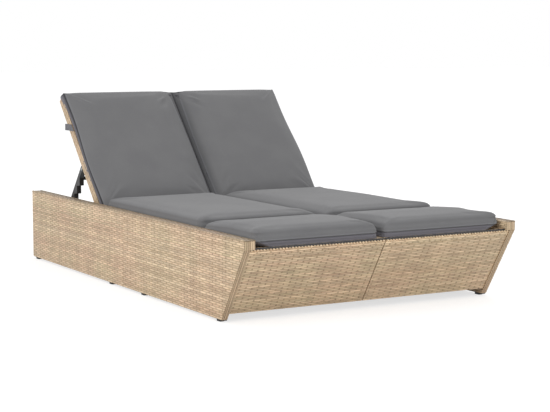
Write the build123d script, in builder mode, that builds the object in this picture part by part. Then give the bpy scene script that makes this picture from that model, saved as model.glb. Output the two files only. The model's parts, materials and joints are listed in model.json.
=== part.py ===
import os
from math import cos, radians, sin, tan

from build123d import *

os.makedirs("parts", exist_ok=True)

# Double garden lounger: a woven base with two backrests that tilt side by side.
# X runs across, Y from the foot end (negative) to the head end, Z up from the floor.
# The backrests are drawn raised, with their support arms on the catch bar.

# Base
base_length = 2000
base_width = 1160
rail_top = 305
glide_height = 8
half_gap = 1
rear_corner = 10
post_slant = 32.4

# Steel tubes and the weave wrapped round them
tube = 20
tube_wall = 1.5
post_tube_depth = 50
rail_tube_width = 36
rail_tube_height = 28
wrap = 1.25
web = 2.5

# Foot and head panels
foot_recess = 5
panel_clearance = 30
stop_gap = 0.3
front_upright_from_foot = 600

# Seat deck and the beams under it
deck_side_gap = 1
deck_bar_step = 320
deck_bars = 3
beam_width = 40
beam_height = 40
pivot_beam_size = 30
pivot_beam_gap = 47
leg_tube = 30
leg_plate = 4
front_leg_from_foot = 580
flange = 4
flange_margin = 17
flange_width = 24
flange_bolt_shares = (0.5, 1.5)

# Brackets and fasteners
bracket = 3
bracket_length = 80
bracket_drop = 120
bracket_bolt_shares = (0.25, 0.75)
head_bracket_z = 90
ledge_leg = 25
ledge_from_foot = 140
ledge_end_gap = 15
ledge_bolt_share = 0.6
seam_plate_z = 45
seam_plate_height = 40
bolt_radius = 3
bolt_length = 12
bolt_head_radius = 5.5
bolt_head_height = 3.5
bolt_head_sides = 6
bolt_clearance = 0.2

# Glides and caps on the floor side
glide_length = 28
glide_width = 18
glide_post_gap = 31
glide_middle_front = 168
glide_middle_rear = 140
glide_from_head = 35
glide_corner = 4
cap_height = 3
cap_length = 16

# Backrests
back_angle = 48
pivot_from_head = 653
pivot_z = 250
back_below = 14
back_reach = 640
back_side_gap = 14.5
back_centre_gap = 12
hinge_pin_radius = 5
hinge_clearance = 0.05
hinge_pin_head_radius = 8
hinge_pin_head = 3
hinge_pin_inside = 26
hinge_plate = 6
hinge_plate_gap = 3
hinge_plate_radius = 15
play = 0.5

# Support arms
arm_hinge_reach = 276.4
arm_eye_radius = 10
arm_lean = 39.6
arm_width = 20
arm_inset = 1.5
arm_rear = 13
arm_front = 5.6
notch_count = 5
notch_pitch = 48.4
notch_slope = 7
first_notch = 96.2
tooth_round = 1.5
lug = 4
arm_pin_radius = 4
arm_pin_head_radius = 7
arm_pin_head = 2
arm_frame_gap = 0.8
catch_radius = 12.5
catch_clearance = 0.4
brace_radius = 8
brace_upper = 60
brace_lower = 300

# Cushions and straps
cushion_side_gap = 9.5
cushion_centre_gap = 10
cushion_height = 44
back_cushion_top_height = 30
cushion_crown = 12
cushion_end_crown = 3
cushion_draw = 4
cushion_corner = 16
upright_share = 0.99
foot_cushion_from_foot = 28
cushion_joint_from_foot = 430
cushion_joint_gap = 5
seat_cushion_gap = 55
back_cushion_start = 4
back_cushion_end = 646
soft_gap = 0.3
strap_reach = 496
strap_width = 28
strap_thickness = 1.4
strap_tail = 27

# Derived sizes
slant = radians(post_slant)
lean = radians(arm_lean)
half_width = base_width / 2
half_length = base_length / 2
panel = tube + 2 * wrap
rail_width = rail_tube_width + 2 * wrap
rail_height = rail_tube_height + 2 * wrap
deck_top = rail_top - rail_height
deck_bottom = deck_top - panel
border = wrap + tube + wrap
post_border = wrap + post_tube_depth + wrap
inner_half = half_width - panel
seam = half_gap / 2
rail_tube_bottom = deck_top + wrap
back_front = rail_width - back_below
foot_top_y = -half_length + foot_recess / cos(slant)
foot_rear_y = foot_top_y + panel / cos(slant)
head_inner_y = half_length - panel
pivot_y = half_length - pivot_from_head
pivot_beam_y = pivot_y - pivot_beam_gap
front_upright_y = front_upright_from_foot - half_length
front_leg_y = front_leg_from_foot - half_length
head_top = pivot_z - back_below - stop_gap
pivot_beam_top = deck_bottom
pivot_beam_front = pivot_beam_y - pivot_beam_size / 2
pivot_beam_rear = pivot_beam_y + pivot_beam_size / 2
ledge_front_y = ledge_from_foot - half_length
ledge_rear_y = pivot_beam_front - ledge_end_gap
back_start = -(wrap + tube / 2)
back_edge = half_width - rail_width - back_side_gap
back_inner = back_centre_gap / 2
back_middle = (back_edge + back_inner) / 2
cushion_edge = half_width - rail_width - cushion_side_gap
cushion_inner = cushion_centre_gap / 2
foot_cushion_front_y = foot_cushion_from_foot - half_length
cushion_joint_y = cushion_joint_from_foot - half_length
seat_cushion_rear_y = pivot_y - seat_cushion_gap
seam_tube = seam + wrap + tube / 2


# Places in the side view
def post_face_y(z, depth):
    # The slanted front of a side panel at height z, taken a depth behind its face
    return -half_length + (deck_top - z) * tan(slant) + depth / cos(slant)


def back_point(reach, rise, x=0):
    # A point of the raised backrest: reach up the back, rise out of its plane
    a = radians(back_angle)
    y = pivot_y + reach * cos(a) - rise * sin(a)
    z = pivot_z + reach * sin(a) + rise * cos(a)
    return (x, y, z)


def back_y(z, rise):
    # Where a plane at this rise of the raised backrest passes the height z
    a = radians(back_angle)
    return pivot_y + (z - pivot_z) / tan(a) - rise / sin(a)


foot_plane = Plane(
    origin=(0, foot_top_y, deck_top),
    x_dir=(1, 0, 0),
    z_dir=(0, cos(slant), sin(slant)),
)
back_plane = Plane(
    origin=(0, pivot_y, pivot_z),
    x_dir=(1, 0, 0),
    z_dir=(0, -sin(radians(back_angle)), cos(radians(back_angle))),
)

# The support arm: distances run along it from its hinge, and across it to its rear
arm_drop = back_below + arm_frame_gap + arm_rear
tread = notch_pitch * sin(lean) / cos(radians(notch_slope))
riser = tread * cos(lean + radians(notch_slope)) / sin(lean)
tread_along = tread * sin(lean + radians(notch_slope))
tread_across = tread * cos(lean + radians(notch_slope))
arm_end = first_notch + (notch_count - 1) * notch_pitch + riser * cos(lean)
arm_hinge = back_point(arm_hinge_reach, -arm_drop)
catch_offset = catch_radius + catch_clearance
last_notch = first_notch + (notch_count - 1) * notch_pitch
catch_y = arm_hinge[1] + last_notch * sin(lean) - arm_front * cos(lean) - catch_offset
catch_z = (
    arm_hinge[2]
    - last_notch * cos(lean)
    - arm_front * sin(lean)
    + catch_offset * tan(radians(notch_slope))
    - catch_offset / cos(radians(notch_slope))
)
uprights_front = (front_upright_y,)
uprights_rear = (pivot_beam_y, catch_y)


def save(builder, name):
    builder.part.label = name
    export_step(builder.part, f"parts/{name}.step")


def both_sides(builder, name):
    # The left piece as drawn, and its mirror image on the right
    save(builder, "left_" + name)
    with BuildPart() as right:
        mirror(builder.part, about=Plane.YZ)
    save(right, "right_" + name)


# Bolts: a place on the outer face of what is held, and the way the bolt points in
bolt_places = []


def add_bolt(x, y, z, direction):
    bolt_places.append(Plane(origin=(x, y, z), z_dir=direction))


def both_bolts(x, y, z, direction):
    add_bolt(x, y, z, direction)
    add_bolt(-x, y, z, (-direction[0], direction[1], direction[2]))


def foot_point(x, along, inward):
    # A point of the foot panel: along runs down its slope, inward to its back
    y = foot_top_y + along * sin(slant) + inward * cos(slant)
    z = deck_top - along * cos(slant) + inward * sin(slant)
    return (x, y, z)


outward = (0, -cos(slant), -sin(slant))
bracket_reach = panel + (post_border - foot_recess - panel) / 2
foot_bolt_high, foot_bolt_low = [bracket_drop + s * bracket_length for s in bracket_bolt_shares]
both_bolts(*foot_point(-inner_half + border / 2, foot_bolt_high, panel + bracket), outward)
both_bolts(*foot_point(-inner_half + bracket, foot_bolt_low, bracket_reach), (-1, 0, 0))
head_bolt_low, head_bolt_high = [head_bracket_z + s * bracket_length for s in bracket_bolt_shares]
both_bolts(-inner_half + border / 2, head_inner_y - bracket, head_bolt_high, (0, 1, 0))
head_reach_y = half_length - panel - (post_border - panel) / 2
both_bolts(-inner_half + bracket, head_reach_y, head_bolt_low, (-1, 0, 0))
flange_height = pivot_beam_size + 2 * flange_margin
pivot_beam_z = pivot_beam_top - pivot_beam_size / 2
for share in flange_bolt_shares:
    z = pivot_beam_top - pivot_beam_size - share * flange_margin
    both_bolts(-inner_half + flange, pivot_beam_y, z, (-1, 0, 0))
catch_flange_height = 2 * catch_radius + 2 * flange_margin
catch_bolt_rise = (catch_flange_height - flange_margin) / 2
for z in (catch_z - catch_bolt_rise, catch_z + catch_bolt_rise):
    both_bolts(-inner_half + flange, catch_y, z, (-1, 0, 0))
ledge_bolt_z = deck_bottom - ledge_bolt_share * ledge_leg
for y in (front_upright_y, -seam_tube, seam_tube):
    both_bolts(-inner_half + bracket, y, ledge_bolt_z, (-1, 0, 0))
for y in (-seam_tube, seam_tube):
    both_bolts(-inner_half + bracket, y, seam_plate_z + seam_plate_height / 2, (-1, 0, 0))
beam_flange_top = (deck_top - deck_bottom + panel * sin(slant)) / cos(slant) + flange
beam_flange_length = beam_height / cos(slant) + 2 * flange_margin
beam_bolt_along = beam_flange_top + beam_flange_length - flange_margin / 2
both_bolts(*foot_point(-seam_tube, beam_bolt_along, panel + flange), outward)
head_plate_z = head_bracket_z + bracket_length / 2
both_bolts(-seam_tube, head_inner_y - bracket, head_plate_z, (0, 1, 0))


# Clearance holes, cut from each piece that a bolt passes through
with BuildPart() as bolt_holes:
    for place in bolt_places:
        with BuildSketch(place):
            Circle(bolt_radius + bolt_clearance)
    extrude(amount=bolt_length + wrap)


# Side panels
def front_outline(inset, post_inset, top):
    bottom = glide_height + inset
    return [
        (post_face_y(top, post_inset), top),
        (post_face_y(bottom, post_inset), bottom),
        (-seam - inset, bottom),
        (-seam - inset, top),
    ]


def rear_outline(inset, post_inset, top):
    bottom = glide_height + inset
    return [
        (seam + inset, top),
        (seam + inset, bottom),
        (half_length - post_inset, bottom),
        (half_length - post_inset, top),
    ]


def side_face(outline, inset, post_inset, top):
    # A half of the side view, drawn in from its edges
    with BuildSketch(Plane.XY) as face:
        with BuildLine():
            Polyline(*outline(inset, post_inset, top), close=True)
        make_face()
        if outline is rear_outline and inset == post_inset:
            corner = face.vertices().group_by(Axis.Y)[0].sort_by(Axis.X)[-1]
            fillet(corner, rear_corner - inset)
    return face.sketch


def side_windows(outline, uprights, edge, post_edge, upright_width, top):
    with BuildSketch(Plane.XY) as windows:
        add(side_face(outline, edge, post_edge, top))
        for y in uprights:
            with Locations((y, rail_top / 2)):
                Rectangle(upright_width, 2 * rail_top, mode=Mode.SUBTRACT)
    return windows.sketch


def side_tubes(outline, uprights, rail_ends, inset):
    # The welded tubes of one half, each drawn in by inset on all its faces
    outer = -half_width + wrap
    with BuildPart() as tubes:
        with BuildSketch(Plane.YZ.offset(outer + inset)):
            add(side_face(outline, wrap + inset, wrap + inset, rail_tube_bottom))
            add(
                side_windows(
                    outline,
                    uprights,
                    wrap + tube - inset,
                    wrap + post_tube_depth - inset,
                    tube - 2 * inset,
                    rail_tube_bottom,
                ),
                mode=Mode.SUBTRACT,
            )
        extrude(amount=tube - 2 * inset)
        with BuildSketch(Plane.YZ.offset(outer + inset)):
            with BuildLine():
                Polyline(
                    (rail_ends[0] + wrap + inset, rail_tube_bottom + inset),
                    (rail_ends[1] - wrap - inset, rail_tube_bottom + inset),
                    (rail_ends[1] - wrap - inset, rail_top - wrap - inset),
                    (rail_ends[0] + wrap + inset, rail_top - wrap - inset),
                    close=True,
                )
            make_face()
        extrude(amount=rail_tube_width - 2 * inset)
    return tubes.part


side_halves = (
    ("front_side", front_outline, uprights_front, (-half_length, -seam)),
    ("rear_side", rear_outline, uprights_rear, (seam, half_length)),
)
for half_name, outline, uprights, rail_ends in side_halves:
    envelope = side_tubes(outline, uprights, rail_ends, 0)
    with BuildPart() as side_frame:
        add(envelope)
        add(side_tubes(outline, uprights, rail_ends, tube_wall), mode=Mode.SUBTRACT)
        add(bolt_holes.part, mode=Mode.SUBTRACT)
    both_sides(side_frame, half_name + "_frame")

    with BuildPart() as side_wicker:
        with BuildSketch(Plane.YZ.offset(-half_width)):
            add(side_face(outline, 0, 0, deck_top))
        extrude(amount=panel)
        with BuildSketch(Plane.YZ.offset(-half_width)):
            with BuildLine():
                Polyline(
                    (rail_ends[0], deck_top),
                    (rail_ends[1], deck_top),
                    (rail_ends[1], rail_top),
                    (rail_ends[0], rail_top),
                    close=True,
                )
            make_face()
        extrude(amount=rail_width)
        with BuildSketch(Plane.YZ.offset(-half_width + web)):
            add(side_windows(outline, uprights, border, post_border, border, deck_top))
        extrude(amount=panel - web, mode=Mode.SUBTRACT)
        add(envelope, mode=Mode.SUBTRACT)
        add(bolt_holes.part, mode=Mode.SUBTRACT)
    both_sides(side_wicker, half_name + "_wicker")

# Foot panel, in halves that meet at the middle
foot_slope = (deck_top - panel_clearance) / cos(slant)
foot_tube_top = (wrap + (wrap + tube) * sin(slant)) / cos(slant)
foot_tube_bottom = foot_slope - (wrap - wrap * sin(slant)) / cos(slant)
panel_middle_x = (inner_half + seam) / 2
panel_half = inner_half - seam


def ring(width, height, member, inset):
    # The face of a rectangular tube frame seen square on
    with BuildSketch(Plane.XY) as face:
        Rectangle(width - 2 * inset, height - 2 * inset)
        Rectangle(
            width - 2 * member + 2 * inset,
            height - 2 * member + 2 * inset,
            mode=Mode.SUBTRACT,
        )
    return face.sketch


def panel_tubes(plane, centre, width, height, inset):
    with BuildPart() as tubes:
        with BuildSketch(plane.offset(wrap + inset)):
            with Locations(centre):
                add(ring(width, height, tube, inset))
                Rectangle(tube - 2 * inset, height - tube)
        extrude(amount=tube - 2 * inset)
    return tubes.part


foot_tube_length = foot_tube_bottom - foot_tube_top
foot_centre = (-panel_middle_x, (foot_tube_top + foot_tube_bottom) / 2)
foot_envelope = panel_tubes(foot_plane, foot_centre, panel_half - 2 * wrap, foot_tube_length, 0)
with BuildPart() as foot_frame:
    add(foot_envelope)
    add(
        panel_tubes(foot_plane, foot_centre, panel_half - 2 * wrap, foot_tube_length, tube_wall),
        mode=Mode.SUBTRACT,
    )
    add(bolt_holes.part, mode=Mode.SUBTRACT)
both_sides(foot_frame, "foot_frame")


def foot_face_y(z):
    return foot_top_y + (deck_top - z) * tan(slant)


with BuildPart() as foot_wicker:
    with BuildSketch(Plane.YZ.offset(-inner_half)):
        with BuildLine():
            Polyline(
                (foot_top_y, deck_top),
                (foot_face_y(panel_clearance), panel_clearance),
                (foot_face_y(panel_clearance) + panel / cos(slant), panel_clearance),
                (foot_rear_y, deck_top),
                close=True,
            )
        make_face()
    extrude(amount=panel_half)
    with BuildSketch(foot_plane.offset(web)):
        with Locations(foot_centre):
            Rectangle(panel_half - 2 * border, foot_tube_length - 2 * tube - 2 * wrap)
            Rectangle(border, foot_slope, mode=Mode.SUBTRACT)
    extrude(amount=panel, mode=Mode.SUBTRACT)
    add(foot_envelope, mode=Mode.SUBTRACT)
    add(bolt_holes.part, mode=Mode.SUBTRACT)
both_sides(foot_wicker, "foot_wicker")

# Head panel, low enough for the backrests to lie over it
head_height = head_top - panel_clearance
head_plane = Plane(origin=(0, half_length, 0), x_dir=(1, 0, 0), z_dir=(0, -1, 0))
head_centre = (-panel_middle_x, (head_top + panel_clearance) / 2)
head_envelope = panel_tubes(
    head_plane, head_centre, panel_half - 2 * wrap, head_height - 2 * wrap, 0
)
with BuildPart() as head_frame:
    add(head_envelope)
    add(
        panel_tubes(
            head_plane, head_centre, panel_half - 2 * wrap, head_height - 2 * wrap, tube_wall
        ),
        mode=Mode.SUBTRACT,
    )
    add(bolt_holes.part, mode=Mode.SUBTRACT)
both_sides(head_frame, "head_frame")

with BuildPart() as head_wicker:
    with BuildSketch(head_plane):
        with Locations(head_centre):
            Rectangle(panel_half, head_height)
    extrude(amount=panel)
    with BuildSketch(head_plane.offset(web)):
        with Locations(head_centre):
            Rectangle(panel_half - 2 * border, head_height - 2 * border)
            Rectangle(border, head_height, mode=Mode.SUBTRACT)
    extrude(amount=panel - web, mode=Mode.SUBTRACT)
    add(head_envelope, mode=Mode.SUBTRACT)
    add(bolt_holes.part, mode=Mode.SUBTRACT)
both_sides(head_wicker, "head_wicker")

# Seat deck: a ladder frame with the weave over its top, in halves
deck_outer = inner_half - deck_side_gap
deck_front_y = foot_rear_y + stop_gap / cos(slant)
deck_tube_front_y = deck_front_y + panel * tan(slant) + wrap
deck_rear_y = pivot_beam_rear
deck_half = deck_outer - seam
deck_length = deck_rear_y - deck_front_y
deck_centre = (-(deck_outer + seam) / 2, (deck_front_y + deck_rear_y) / 2)


def deck_tubes(inset):
    tube_length = deck_rear_y - wrap - deck_tube_front_y
    with BuildPart() as tubes:
        with BuildSketch(Plane.XY.offset(deck_bottom + wrap + inset)):
            with Locations((deck_centre[0], deck_rear_y - wrap - tube_length / 2)):
                add(ring(deck_half - 2 * wrap, tube_length, tube, inset))
            with Locations(deck_centre):
                with GridLocations(0, deck_bar_step, 1, deck_bars):
                    Rectangle(deck_half - tube, tube - 2 * inset)
        extrude(amount=tube - 2 * inset)
    return tubes.part


deck_envelope = deck_tubes(0)
with BuildPart() as deck_frame:
    add(deck_envelope)
    add(deck_tubes(tube_wall), mode=Mode.SUBTRACT)
both_sides(deck_frame, "deck_frame")

with BuildPart() as deck_wicker:
    with BuildSketch(Plane.XY.offset(deck_bottom)):
        with Locations(deck_centre):
            Rectangle(deck_half, deck_length)
    extrude(amount=panel)
    split(bisect_by=foot_plane.offset(panel + stop_gap), keep=Keep.TOP)
    window_front_y = deck_tube_front_y + tube + wrap
    window_length = deck_rear_y - border - window_front_y
    with BuildSketch(Plane.XY.offset(deck_bottom)):
        with Locations((deck_centre[0], window_front_y + window_length / 2)):
            Rectangle(deck_half - 2 * border, window_length)
        with Locations(deck_centre):
            with GridLocations(0, deck_bar_step, 1, deck_bars):
                Rectangle(deck_half, border, mode=Mode.SUBTRACT)
    extrude(amount=panel - web, mode=Mode.SUBTRACT)
    add(deck_envelope, mode=Mode.SUBTRACT)
both_sides(deck_wicker, "deck_wicker")

# Centre beam, from the foot panel to the pivot beam
with BuildPart() as centre_beam:
    with BuildSketch(Plane.XZ.offset(-pivot_beam_front)):
        with Locations((0, deck_bottom - beam_height / 2)):
            Rectangle(beam_width, beam_height)
            Rectangle(beam_width - 2 * tube_wall, beam_height - 2 * tube_wall, mode=Mode.SUBTRACT)
    extrude(amount=base_length)
    split(bisect_by=foot_plane.offset(panel + flange), keep=Keep.TOP)
    with BuildSketch(foot_plane.offset(panel)):
        with Locations((0, beam_flange_top + beam_flange_length / 2)):
            Rectangle(2 * (seam + border), beam_flange_length)
    extrude(amount=flange)
    add(bolt_holes.part, mode=Mode.SUBTRACT)
save(centre_beam, "centre_beam")

# Pivot beam with an end flange against each side panel
with BuildPart() as pivot_beam:
    with BuildSketch(Plane.YZ.offset(-inner_half + flange)):
        with Locations((pivot_beam_y, pivot_beam_z)):
            Rectangle(pivot_beam_size, pivot_beam_size)
            Rectangle(
                pivot_beam_size - 2 * tube_wall,
                pivot_beam_size - 2 * tube_wall,
                mode=Mode.SUBTRACT,
            )
    extrude(amount=2 * (inner_half - flange))
    for x in (-inner_half, inner_half - flange):
        with BuildSketch(Plane.YZ.offset(x)):
            with Locations((pivot_beam_y, pivot_beam_top - flange_height / 2)):
                Rectangle(flange_width, flange_height)
        extrude(amount=flange)
    add(bolt_holes.part, mode=Mode.SUBTRACT)
save(pivot_beam, "pivot_beam")

# Hinge plates, one at each side and one between the backrests
hinge_plate_xs = (
    -(back_edge + hinge_plate_gap + hinge_plate / 2),
    0,
    back_edge + hinge_plate_gap + hinge_plate / 2,
)
with BuildPart() as hinge_plates:
    for x in hinge_plate_xs:
        with BuildSketch(Plane.YZ.offset(x - hinge_plate / 2)):
            with BuildLine():
                Polyline(
                    (pivot_beam_rear, pivot_beam_top - pivot_beam_size),
                    (pivot_beam_rear, pivot_beam_top),
                    (pivot_y - hinge_plate_radius, pivot_z + hinge_plate_radius / 2),
                    (pivot_y, pivot_z),
                    (pivot_y, pivot_z - hinge_plate_radius),
                    close=True,
                )
            make_face()
            with Locations((pivot_y, pivot_z)):
                Circle(hinge_plate_radius)
                Circle(hinge_pin_radius + hinge_clearance, mode=Mode.SUBTRACT)
        extrude(amount=hinge_plate)
save(hinge_plates, "hinge_plates")

# Catch bar that the support arms step onto
with BuildPart() as catch_bar:
    with BuildSketch(Plane.YZ.offset(-inner_half + flange)):
        with Locations((catch_y, catch_z)):
            Circle(catch_radius)
            Circle(catch_radius - tube_wall, mode=Mode.SUBTRACT)
    extrude(amount=2 * (inner_half - flange))
    for x in (-inner_half, inner_half - flange):
        with BuildSketch(Plane.YZ.offset(x)):
            with Locations((catch_y, catch_z)):
                Rectangle(flange_width, catch_flange_height)
        extrude(amount=flange)
    add(bolt_holes.part, mode=Mode.SUBTRACT)
save(catch_bar, "catch_bar")

# Centre legs under the centre beam and the pivot beam
with BuildPart() as centre_legs:
    leg_tops = (
        (front_leg_y, deck_bottom - beam_height),
        (pivot_beam_y, pivot_beam_top - pivot_beam_size),
    )
    for y, top in leg_tops:
        with BuildSketch(Plane.XY.offset(glide_height)):
            with Locations((0, y)):
                Rectangle(leg_tube, leg_tube)
        extrude(amount=top - glide_height)
        with BuildSketch(Plane.XY.offset(glide_height)):
            with Locations((0, y)):
                Rectangle(leg_tube - 2 * tube_wall, leg_tube - 2 * tube_wall)
        extrude(amount=top - leg_plate - glide_height, mode=Mode.SUBTRACT)
save(centre_legs, "centre_legs")

# Angle brackets in the four corners, ledges for the deck, plates over the seams
with BuildPart() as corner_brackets:
    for side in (-1, 1):
        with BuildSketch(foot_plane.offset(panel)):
            with Locations((side * (inner_half - border / 2), bracket_drop + bracket_length / 2)):
                Rectangle(border, bracket_length)
        extrude(amount=bracket)
        with BuildSketch(foot_plane.offset(panel)):
            with Locations((side * (inner_half - bracket / 2), bracket_drop + bracket_length / 2)):
                Rectangle(bracket, bracket_length)
        extrude(amount=post_border - foot_recess - panel)
        with BuildSketch(Plane.XY.offset(head_bracket_z)):
            with Locations((side * (inner_half - border / 2), head_inner_y - bracket / 2)):
                Rectangle(border, bracket)
            with Locations((side * (inner_half - bracket / 2), head_inner_y - border / 2)):
                Rectangle(bracket, border)
        extrude(amount=bracket_length)
    add(bolt_holes.part, mode=Mode.SUBTRACT)
save(corner_brackets, "corner_brackets")

with BuildPart() as deck_ledge:
    with BuildSketch(Plane.XZ.offset(-ledge_rear_y)):
        with Locations((-inner_half + ledge_leg / 2, deck_bottom - bracket / 2)):
            Rectangle(ledge_leg, bracket)
        with Locations((-inner_half + bracket / 2, deck_bottom - ledge_leg / 2)):
            Rectangle(bracket, ledge_leg)
    extrude(amount=ledge_rear_y - ledge_front_y)
    add(bolt_holes.part, mode=Mode.SUBTRACT)
both_sides(deck_ledge, "deck_ledge")

with BuildPart() as seam_plates:
    for side in (-1, 1):
        with BuildSketch(Plane.XY.offset(seam_plate_z)):
            with Locations((side * (inner_half - bracket / 2), 0)):
                Rectangle(bracket, 2 * (seam + border))
        extrude(amount=seam_plate_height)
    with BuildSketch(Plane.XZ.offset(-head_inner_y)):
        with Locations((0, head_plate_z)):
            Rectangle(2 * (seam + border), seam_plate_height)
    extrude(amount=bracket)
    add(bolt_holes.part, mode=Mode.SUBTRACT)
save(seam_plates, "seam_plates")

# Bolts with hexagon heads
with BuildPart() as panel_bolts:
    for place in bolt_places:
        with BuildSketch(place):
            Circle(bolt_radius)
        extrude(amount=bolt_length)
        with BuildSketch(place):
            RegularPolygon(bolt_head_radius, bolt_head_sides)
        extrude(amount=-bolt_head_height)
save(panel_bolts, "panel_bolts")

# Glides under the side panels and the centre legs, caps on the slanted posts
glide_front_y = post_face_y(glide_height, 0) + glide_post_gap
glide_ys = (glide_front_y, -glide_middle_front, glide_middle_rear, half_length - glide_from_head)
with BuildPart() as foot_glides:
    with BuildSketch(Plane.XY):
        for y in glide_ys:
            with Locations((-half_width + panel / 2, y), (half_width - panel / 2, y)):
                RectangleRounded(glide_width, glide_length, glide_corner)
        for y in (front_leg_y, pivot_beam_y):
            with Locations((0, y)):
                RectangleRounded(leg_tube, leg_tube, glide_corner)
    extrude(amount=glide_height)
save(foot_glides, "foot_glides")

cap_front_y = post_face_y(glide_height, 0)
with BuildPart() as post_caps:
    with BuildSketch(Plane.XY.offset(glide_height - cap_height)):
        cap_y = cap_front_y + cap_length / 2
        with Locations((-half_width + panel / 2, cap_y), (half_width - panel / 2, cap_y)):
            RectangleRounded(panel - 2 * wrap, cap_length, wrap)
    extrude(amount=cap_height)
save(post_caps, "post_caps")

# Backrests
back_length = back_reach - back_start
back_width = back_edge - back_inner
back_centre = (-back_middle, (back_reach + back_start) / 2)
back_depth = back_below + back_front
back_tube_depth = back_depth - 2 * wrap


def back_tubes(inset):
    with BuildPart() as tubes:
        with BuildSketch(back_plane.offset(-back_below + wrap + inset)):
            with Locations(back_centre):
                add(ring(back_width - 2 * wrap, back_length - 2 * wrap, tube, inset))
            with Locations((-back_middle, arm_hinge_reach)):
                Rectangle(back_width - tube, tube - 2 * inset)
        extrude(amount=back_tube_depth - 2 * inset)
    return tubes.part


# Through the side tubes for the hinge pins
with BuildPart() as hinge_holes:
    for x in (-back_edge, -back_inner - hinge_pin_inside):
        with BuildSketch(Plane.YZ.offset(x)):
            with Locations((pivot_y, pivot_z)):
                Circle(hinge_pin_radius)
    extrude(amount=hinge_pin_inside)

back_envelope = back_tubes(0)
with BuildPart() as back_frame:
    add(back_envelope)
    add(back_tubes(tube_wall), mode=Mode.SUBTRACT)
    add(hinge_holes.part, mode=Mode.SUBTRACT)
both_sides(back_frame, "back_frame")

# Lugs on the crossbar, for the support arm to hang from
lug_xs = (-back_edge + border, -back_inner - border - lug)
with BuildPart() as arm_lugs:
    for x in lug_xs:
        with BuildSketch(Plane.YZ.offset(x)):
            with BuildLine():
                Polyline(
                    back_point(arm_hinge_reach - tube / 2, -back_below + wrap)[1:],
                    back_point(arm_hinge_reach + tube / 2, -back_below + wrap)[1:],
                    back_point(arm_hinge_reach + arm_eye_radius, -arm_drop)[1:],
                    back_point(arm_hinge_reach - arm_eye_radius, -arm_drop)[1:],
                    close=True,
                )
            make_face()
            with Locations(arm_hinge[1:]):
                Circle(arm_eye_radius)
                Circle(arm_pin_radius, mode=Mode.SUBTRACT)
        extrude(amount=lug)
both_sides(arm_lugs, "arm_lugs")

with BuildPart() as back_wicker:
    with BuildSketch(back_plane.offset(-back_below)):
        with Locations(back_centre):
            Rectangle(back_width, back_length)
    extrude(amount=back_depth)
    with BuildSketch(back_plane.offset(-back_below)):
        with Locations(back_centre):
            Rectangle(back_width - 2 * border, back_length - 2 * border)
    extrude(amount=back_depth - web, mode=Mode.SUBTRACT)
    add(back_envelope, mode=Mode.SUBTRACT)
    add(hinge_holes.part, mode=Mode.SUBTRACT)
both_sides(back_wicker, "back_wicker")

# Hinge pins: the outer one has a head beyond its plate, the inner one ends in the middle plate
outer_plate_face = back_edge + hinge_plate_gap + hinge_plate
with BuildPart() as hinge_pins:
    with BuildSketch(Plane.YZ.offset(-back_edge + hinge_pin_inside)):
        with Locations((pivot_y, pivot_z)):
            Circle(hinge_pin_radius)
    extrude(amount=-(hinge_pin_inside + hinge_plate_gap + hinge_plate + play))
    with BuildSketch(Plane.YZ.offset(-outer_plate_face - play)):
        with Locations((pivot_y, pivot_z)):
            Circle(hinge_pin_head_radius)
    extrude(amount=-hinge_pin_head)
    with BuildSketch(Plane.YZ.offset(-back_inner - hinge_pin_inside)):
        with Locations((pivot_y, pivot_z)):
            Circle(hinge_pin_radius)
    extrude(amount=hinge_pin_inside + back_inner - play / 2)
both_sides(hinge_pins, "hinge_pins")

# Support arms
arm_plane = Plane(
    origin=(0, arm_hinge[1], arm_hinge[2]),
    x_dir=(0, sin(lean), -cos(lean)),
    z_dir=(1, 0, 0),
)
arm_outer_x = -back_edge + arm_inset
arm_inner_x = -back_inner - arm_inset - arm_width


def arm_profile():
    # Straight rear edge, stepped front edge with one notch after another
    points = [(0, arm_rear), (0, -arm_front)]
    points.append((first_notch - tread_along - riser * cos(lean), -arm_front))
    for step in range(notch_count):
        root = first_notch + step * notch_pitch
        points.append((root - tread_along, -arm_front - tread_across))
        points.append((root, -arm_front))
    points.append((arm_end, -arm_front - riser * sin(lean)))
    points.append((arm_end + arm_front, -arm_front))
    points.append((arm_end + arm_front, arm_rear))
    return points


def arm_leg(x):
    with BuildPart() as leg:
        with BuildSketch(arm_plane.offset(x)) as side:
            with BuildLine():
                Polyline(*arm_profile(), close=True)
            make_face()
            fillet(side.vertices().group_by(Axis.X)[-1], tooth_round)
            Circle(arm_rear)
            Circle(arm_pin_radius + hinge_clearance, mode=Mode.SUBTRACT)
        extrude(amount=arm_width)
    return leg


both_sides(arm_leg(arm_outer_x), "arm_outer_leg")
both_sides(arm_leg(arm_inner_x), "arm_inner_leg")

brace_start = arm_outer_x + arm_width
brace_across = (arm_rear - arm_front) / 2
with BuildPart() as arm_braces:
    with BuildSketch(arm_plane.offset(brace_start)):
        with Locations((brace_upper, brace_across), (brace_lower, brace_across)):
            Circle(brace_radius)
            Circle(brace_radius - tube_wall, mode=Mode.SUBTRACT)
    extrude(amount=arm_inner_x - brace_start)
both_sides(arm_braces, "arm_braces")

with BuildPart() as arm_pins:
    for side in (-1, 1):
        head = -back_middle + side * (back_middle - back_inner - arm_inset)
        with BuildSketch(arm_plane.offset(head)):
            Circle(arm_pin_head_radius)
        extrude(amount=side * arm_pin_head)
        with BuildSketch(arm_plane.offset(head)):
            Circle(arm_pin_radius)
        extrude(amount=-side * (border - arm_inset + lug + play))
both_sides(arm_pins, "arm_pins")


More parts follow.
